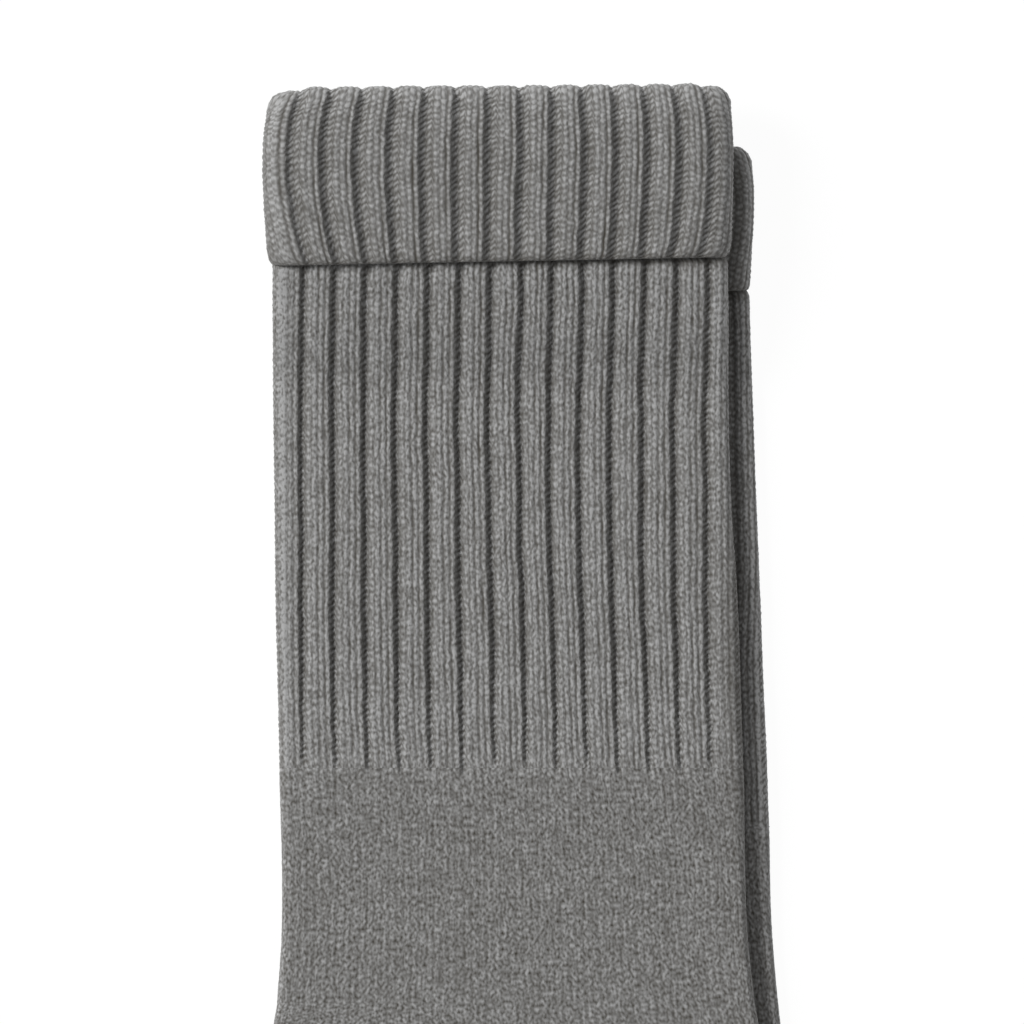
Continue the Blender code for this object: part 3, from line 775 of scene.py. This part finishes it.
def plain_row(section, layer, **more):
    return Row(section, layer, worked=1.0, **{"narrowing": PLAIN_WALES, **more})


def ankle_rows(place, columns, per_course, first_course):
    """The plain ankle, down to the row where the foot begins."""
    return [
        plain_row(
            leg_section(place, depth), LEG_FACE, knit=near_border(PLAIN_KNIT, LEG_KNIT, depth),
            level=crown_level(depth), valleys=valley_shares(columns, depth), course=first_course - course,
            **leg_leans(depth))
        for course, depth in course_steps(BORDER_DEPTH, ANKLE_END, FOOT_COURSE, per_course)]


def foot_rows(pitch):
    """The foot's outside and toe, with rows about pitch apart along its middle."""
    rows = []
    for index in range(len(FOOT) - 1):
        first, last = foot_section(index), foot_section(index + 1)
        length = np.linalg.norm((last.front + last.back - first.front - first.back) / 2)
        count = round(length / pitch)
        for step in range(1 if rows else 0, count + 1):
            rows.append(plain_row(foot_section(index + step / count), LEG_FACE))
    toe_count = round(TOE_LENGTH * TOE_ROUND / pitch)
    for step in range(1, toe_count + 1):
        share = step / toe_count
        thickness = 1 - TOE_THINNING * share**4
        layer = Layer(LEG_FACE.inset, LEG_FACE.rise * thickness, LEG_FACE.drop * thickness)
        angle = math.radians(LAST_TOE_ANGLE * share)
        rows.append(plain_row(toe_section(angle), layer, narrowing=PLAIN_WALES * math.cos(angle)))
    return rows, toe_count


def foot_courses(place, columns, rows, toe_count, first_course):
    """Courses down the foot: by length from the ankle, and from the toe back to the heel's line.

    Where the two runs of courses meet behind the ankle, they are mitred as a turned heel is. In
    front of it they run on, drawn closer together at the bend.
    """
    base = np.array([base_ring(place, columns, row)[0] for row in rows])
    length = np.zeros(base.shape[:2])
    length[1:] = np.cumsum(np.linalg.norm(np.diff(base, axis=0), axis=2), axis=0)
    heel_row = sum(1 for row in rows if -row.section.back[1] < -FOOT[HEEL_STEP].back_y - 0.01)
    last = len(rows) - toe_count - 1
    whole = length[last]
    middle = np.interp(RIBS / 2, columns.rib[columns.top], whole[columns.top])
    drawn = np.where(columns.rib < RIBS / 2, middle / whole, 1.0) / FOOT_COURSE
    course = first_course - length * drawn
    past_heel = np.arange(len(rows)) >= heel_row
    from_toe = first_course - middle / FOOT_COURSE + (whole - length) * drawn
    course[past_heel] = from_toe[past_heel]
    toe = np.arange(len(rows)) > last
    toe_course = first_course - middle / FOOT_COURSE - (length - whole) / FOOT_COURSE
    course[toe] = toe_course[toe]
    return [row._replace(course=course[i]) for i, row in enumerate(rows)]


# ---- Meshes ----

def grid_normals(points):
    """Normals of a grid whose columns close round the tube."""
    along = np.gradient(points, axis=0)
    round_tube = np.roll(points, -1, axis=1) - np.roll(points, 1, axis=1)
    normals = np.cross(along, round_tube)
    return normals / np.maximum(np.linalg.norm(normals, axis=2, keepdims=True), 1e-12)


def toe_cap(columns, first_vertex, flipped):
    """Faces that close a ring flat, from one edge to the other, though its faces differ in columns."""
    upper, under = (
        [(columns.rib[i], first_vertex + i) for i in range(len(columns.rib)) if columns.top[i] == on_top]
        for on_top in (True, False))
    upper.append(under[0])
    under = under[::-1]
    under.insert(0, upper[0])
    faces = []
    i = j = 0
    while i < len(upper) - 1 or j < len(under) - 1:
        if j == len(under) - 1 or (i < len(upper) - 1 and upper[i + 1][0] <= under[j + 1][0]):
            corners = (upper[i][1], under[j][1], upper[i + 1][1])
            i += 1
        else:
            corners = (upper[i][1], under[j][1], under[j + 1][1])
            j += 1
        if len(set(corners)) == 3:
            faces.append(corners[::-1] if flipped else corners)
    return faces


def add_object(name, data):
    thing = bpy.data.objects.new(name, data)
    bpy.context.scene.collection.objects.link(thing)
    return thing


def make_piece(name, place, columns, grid, normals, closed_round):
    """One piece of a sock from a grid of points; closed_round joins its last row to its first."""
    row_count, column_count = grid.points.shape[:2]
    first_rows = np.arange(row_count if closed_round else row_count - 1)
    row, column = np.meshgrid(first_rows, np.arange(column_count), indexing="ij")
    next_row, next_column = (row + 1) % row_count, (column + 1) % column_count
    corners = [(row, column), (next_row, column), (next_row, next_column), (row, next_column)]
    faces = np.stack([r * column_count + c for r, c in corners], axis=2).reshape(-1, 4).tolist()

    def spots(across, up):
        return np.stack([np.stack(across, axis=2), np.stack(up, axis=2)], axis=3).reshape(-1, 2)

    wale_after = wale_of_next(columns, grid.wale)
    stitches = spots(
        [grid.wale[row, column], grid.wale[next_row, column],
         wale_after[next_row, column], wale_after[row, column]],
        [grid.course[r, c] for r, c in corners])
    spread = spots([column, column, column + 1, column + 1], [row, row + 1, row + 1, row])
    spread = spread / (column_count, len(first_rows))

    if not closed_round:
        caps = toe_cap(columns, 0, True) + toe_cap(columns, (row_count - 1) * column_count, False)
        faces += caps
        at_caps = np.zeros((sum(len(face) for face in caps), 2))
        stitches, spread = np.concatenate([stitches, at_caps]), np.concatenate([spread, at_caps])

    mesh = bpy.data.meshes.new(f"{place.name}_{name}")
    mesh.from_pydata(((grid.points.reshape(-1, 3) + ORIGIN) * MM).tolist(), [], faces)
    mesh.shade_smooth()
    for layer_name, values in (("OFBake", spread), ("stitches", stitches)):
        layer = mesh.uv_layers.new(name=layer_name)
        layer.uv.foreach_set("vector", values.astype(np.float32).ravel())
    for layer_name in MARKS:
        layer = mesh.attributes.new(layer_name, "FLOAT", "POINT")
        layer.data.foreach_set("value", getattr(grid, layer_name).astype(np.float32).ravel())
    mesh.normals_split_custom_set_from_vertices(normals.reshape(-1, 3).tolist())
    mesh.materials.append(WOOL)

    piece = add_object(mesh.name, mesh)
    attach(piece, "root")
    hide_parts(place.name)


def wale_of_next(columns, wale):
    """The wale of each column's next neighbour, counted on from the column's own face."""
    after = np.roll(wale, -1, axis=1)
    step = np.abs(np.roll(columns.rib, -1) - columns.rib) * WALES_PER_RIB
    return np.where(columns.top != np.roll(columns.top, -1), wale + step, after)


def make_sock(place, per_course, foot_pitch):
    columns = ring_columns(place)

    cuff = make_grid(place, columns, cuff_rows(place, per_course))
    closed = np.concatenate([cuff.points[-1:], cuff.points, cuff.points[:1]])
    make_piece("cuff", place, columns, cuff, grid_normals(closed)[1:-1], True)

    leg = leg_rows(place, columns, per_course)
    ankle = ankle_rows(place, columns, per_course, leg[-1].course)
    foot, toe_count = foot_rows(foot_pitch)
    foot = foot_courses(place, columns, foot, toe_count, ankle[-1].course)
    outside = make_grid(place, columns, leg + ankle + foot[1:])
    normals = grid_normals(outside.points)

    def inside_leg(depths):
        return [Row(leg_section(place, depth), SLIT) for depth in depths]

    def stretch(name, first, last, inside_rows, closed_round=True):
        """A wall of rows of the outside, then its inside; one that isn't closed round begins inside."""
        inside = make_grid(place, columns, inside_rows)
        pairs = zip((*outside, normals), (*inside, grid_normals(inside.points)))
        halves = [(part[first:last], more) for part, more in pairs]
        *wall, wall_normals = (np.concatenate(half if closed_round else half[::-1]) for half in halves)
        make_piece(name, place, columns, Grid(*wall), wall_normals, closed_round)

    foot_start = len(leg) + len(ankle) - 1
    inside_foot = [Row(toe_section(math.radians(angle)), SLIT) for angle in TOE_INSIDE_ANGLES]
    inside_foot += [Row(foot_section(step), SLIT) for step in range(len(FOOT) - 1, -1, -1)]
    stretch("leg", 0, len(leg), inside_leg(LEG_INSIDE_DEPTHS))
    stretch("ankle", len(leg), foot_start + 1, inside_leg(ANKLE_INSIDE_DEPTHS))
    stretch("foot", foot_start, None, inside_foot, closed_round=False)


# ---- Wool ----

PAINTED_GAP_SHADE = 0.55           # painted shade: how much darker the wool is painted in a gap between wales, and between stitches
PAINTED_NECK_SHADE = 0.75
GAP_POWER = 1.4           # how narrow a gap is
GAPS_UNLIKE = 1.1         # how much the gaps differ, and the least that is left of each
GAPS_LEAST = 0.45
# The wool's colour runs from the dark end to the light end by the painted light and shade of the marks,
# stitches and gaps, and by its mottle; the dark end is mostly painted shade.
LIGHT_AND_LIT_WOOL = (0.312, 0.312, 0.311, 1.0)
DARK_AND_SHADED_WOOL = (0.034, 0.029, 0.021, 1.0)
STITCH_LIGHT, GAP_LIGHT = 0.80, 0.10        # painted light that a stitch adds, and painted light left in the gaps

# How noise moves the wales and the courses: its reach, its pace and its own third place
WALE_WARPS = ((1.6, 0.4, 3.0), (0.5, 1.3, 5.0))
COURSE_WARPS = ((1.0, 0.3, 7.0), (0.5, 1.2, 9.0))

# Noise in the wool: its paces to a wale and to a course, its third place and its detail
UNLIKE_GAPS = (1.1, 0.16, 19.0, 0.0)
FIBRES = (2.8, 1.5, 11.0, 0.5)
STREAKS = (2.6, 0.4, 13.0, 0.0)
YARN = (0.7, 0.5, 17.0, 0.0)
PATCHES = (130.0, 2.0)                      # scale and detail
# How much the light differs by the stitch and by each of these; the knitting says it for the fibres
TONE_AMOUNT, STREAKS_AMOUNT, YARN_AMOUNT, PATCHES_AMOUNT = 0.2, 0.5, 0.6, 0.4


def set_inputs(node, inputs):
    """Set a node's inputs, by name or number, to values or to the sockets that feed them."""
    for name, value in inputs.items():
        if isinstance(value, bpy.types.NodeSocket):
            node.id_data.links.new(value, node.inputs[name])
        else:
            node.inputs[name].default_value = value


def new_material(name):
    """A new material and its shader."""
    material = bpy.data.materials.new(name)
    material.use_nodes = True
    return material, material.node_tree.nodes["Principled BSDF"]


def add_node(tree, kind, inputs, **settings):
    node = tree.nodes.new(kind)
    for name, value in settings.items():
        setattr(node, name, value)
    set_inputs(node, inputs)
    return node.outputs


def make_wool():
    """Mottled grey wool: slanted stitches in wales, painted shade in its gaps and valleys, soft fibres."""
    material, shader = new_material("grey_wool_knit")
    add = partial(add_node, material.node_tree)

    def work_out(operation, *values, clamp=False):
        return add("ShaderNodeMath", dict(enumerate(values)), operation=operation, use_clamp=clamp)[0]

    def combine(*parts):
        return add("ShaderNodeCombineXYZ", dict(enumerate(parts)))[0]

    def noise(vector, scale, detail):
        inputs = {"Vector": vector, "Scale": scale, "Detail": detail}
        return add("ShaderNodeTexNoise", inputs, noise_dimensions="3D")["Fac"]

    plus, minus, times, line, fraction, floor = (
        partial(work_out, operation)
        for operation in ("ADD", "SUBTRACT", "MULTIPLY", "MULTIPLY_ADD", "FRACT", "FLOOR"))

    stitches = add("ShaderNodeUVMap", {}, uv_map="stitches")[0]
    wale_at, course_at, _ = add("ShaderNodeSeparateXYZ", {0: stitches})
    knit_light, gap, slanted, neck, stray, roughness = (
        add("ShaderNodeAttribute", {}, attribute_name=name)["Fac"] for name in MARKS)

    def warp(reach, pace, third):
        return times(minus(noise(combine(wale_at, course_at, third), pace, 0.0), 0.5), reach)

    def noise_at(wale, course, wale_pace, course_pace, third, detail):
        at = combine(times(wale, wale_pace), times(course, course_pace), third)
        return noise(at, 1.0, detail)

    def waves(value):
        return line(work_out("COSINE", times(value, 2 * math.pi)), 0.5, 0.5)

    across = fraction(work_out("DIVIDE", wale_at, float(WALES_PER_RIB)))
    mid_rib = times(times(across, minus(1.0, across)), 4.0)
    moved = times(plus(*(warp(*each) for each in WALE_WARPS)), times(stray, mid_rib))
    wale = plus(plus(wale_at, moved), GAP_SHIFT)
    course = plus(course_at, plus(*(warp(*each) for each in COURSE_WARPS)))
    in_rib = work_out("FLOORED_MODULO", wale, float(WALES_PER_RIB))
    side = work_out("ABSOLUTE", line(fraction(wale), 2.0, -1.0))
    straight = times(side, STITCH_SLANT)
    climb = line(minus(times(fraction(in_rib), WALE_SLANT), straight), slanted, straight)
    run = minus(minus(course, climb), times(floor(wale), WALE_STEP))

    unlike = noise_at(wale, course, *UNLIKE_GAPS)
    openness = times(gap, line(unlike, GAPS_UNLIKE * PAINTED_GAP_SHADE, GAPS_LEAST * PAINTED_GAP_SHADE))
    gap_line = times(work_out("POWER", waves(wale), GAP_POWER), openness)
    column = minus(1.0, times(gap_line, line(slanted, -SLANTED_JOIN, 1.0)))
    stitch = times(column, minus(1.0, times(waves(run), times(neck, PAINTED_NECK_SHADE))))
    cell = combine(floor(wale), floor(run))
    tone = add("ShaderNodeTexWhiteNoise", {"Vector": cell}, noise_dimensions="2D")["Value"]
    fibres, streaks, yarn = (noise_at(wale_at, course_at, *each) for each in (FIBRES, STREAKS, YARN))
    patches = noise(add("ShaderNodeTexCoord", {})["Object"], *PATCHES)

    light = line(stitch, STITCH_LIGHT, GAP_LIGHT)
    for value, amount in (
            (tone, TONE_AMOUNT), (fibres, roughness), (streaks, STREAKS_AMOUNT), (yarn, YARN_AMOUNT),
            (patches, PATCHES_AMOUNT)):
        light = times(light, line(minus(value, 0.5), amount, 1.0))
    light = times(light, knit_light, clamp=True)

    colour = add("ShaderNodeMix", {"Factor": light, "A": DARK_AND_SHADED_WOOL, "B": LIGHT_AND_LIT_WOOL}, data_type="RGBA")
    bumps = {"Strength": 0.4, "Distance": 0.15 * MM, "Height": plus(fibres, stitch)}
    set_inputs(shader, {
        "Base Color": colour["Result"], "Normal": add("ShaderNodeBump", bumps)[0],
        "Roughness": 0.95, "Specular IOR Level": 0.15, "Sheen Weight": 0.2, "Sheen Roughness": 0.6})
    return material


# ---- Studio ----

PHOTO_MM_PER_PIXEL = 0.2
PHOTO_PIXELS = 1024
PHOTO_MIDDLE = (2.4, -85.4)       # the photo's centre, in the pair's frame
FACE_HEIGHT = 10.0
CAMERA_HEIGHT = 3000.0
SENSOR = 36.0

# In metres and watts
CLIP = (0.1, 100.0)
FLOOR_HALF, FLOOR_LEVEL, FLOOR_GLOW = 6.0, -0.0001, 0.955
WORLD_LIGHT = 0.42
KEY_PLACE, KEY_SIZE, KEY_WATTS = (-1.5, 0.85, 1.4), 0.9, 52.0


def make_camera():
    data = bpy.data.cameras.new("camera")
    data.sensor_width = SENSOR
    data.lens = SENSOR * (CAMERA_HEIGHT - FACE_HEIGHT) / (PHOTO_MM_PER_PIXEL * PHOTO_PIXELS)
    data.clip_start, data.clip_end = CLIP
    camera = add_object("camera", data)
    middle = np.array((*PHOTO_MIDDLE, 0.0)) + ORIGIN
    camera.location = (middle[0] * MM, middle[1] * MM, CAMERA_HEIGHT * MM)
    bpy.context.scene.camera = camera


def make_floor():
    """A plain white floor, lit so brightly that shadows on it barely show."""
    material, shader = new_material("floor_white")
    set_inputs(shader, {
        "Base Color": (0.05, 0.05, 0.05, 1.0), "Roughness": 1.0, "Specular IOR Level": 0.0,
        "Emission Color": (1.0, 1.0, 1.0, 1.0), "Emission Strength": FLOOR_GLOW})
    mesh = bpy.data.meshes.new("floor")
    corners = [(x * FLOOR_HALF, y * FLOOR_HALF, FLOOR_LEVEL) for x, y in ((-1, -1), (1, -1), (1, 1), (-1, 1))]
    mesh.from_pydata(corners, [], [(0, 1, 2, 3)])
    mesh.materials.append(material)
    add_object("floor", mesh)


def make_studio():
    """A white world and one round light at the upper left."""
    world = bpy.data.worlds.new("studio")
    world.use_nodes = True
    set_inputs(world.node_tree.nodes["Background"], {"Color": (1.0, 1.0, 1.0, 1.0), "Strength": WORLD_LIGHT})
    scene = bpy.context.scene
    scene.world = world
    scene.view_settings.view_transform = "Standard"
    scene.view_settings.look = "None"
    data = bpy.data.lights.new("key", "AREA")
    data.shape = "DISK"
    data.size = KEY_SIZE
    data.energy = KEY_WATTS
    light = add_object("key", data)
    light.location = KEY_PLACE
    light.rotation_mode = "QUATERNION"
    light.rotation_quaternion = (-light.location).to_track_quat("-Z", "Y")


WOOL = make_wool()
make_sock(LOWER, per_course=2, foot_pitch=1.25)
make_sock(UPPER, per_course=3, foot_pitch=1.1)
make_camera()
make_floor()
make_studio()
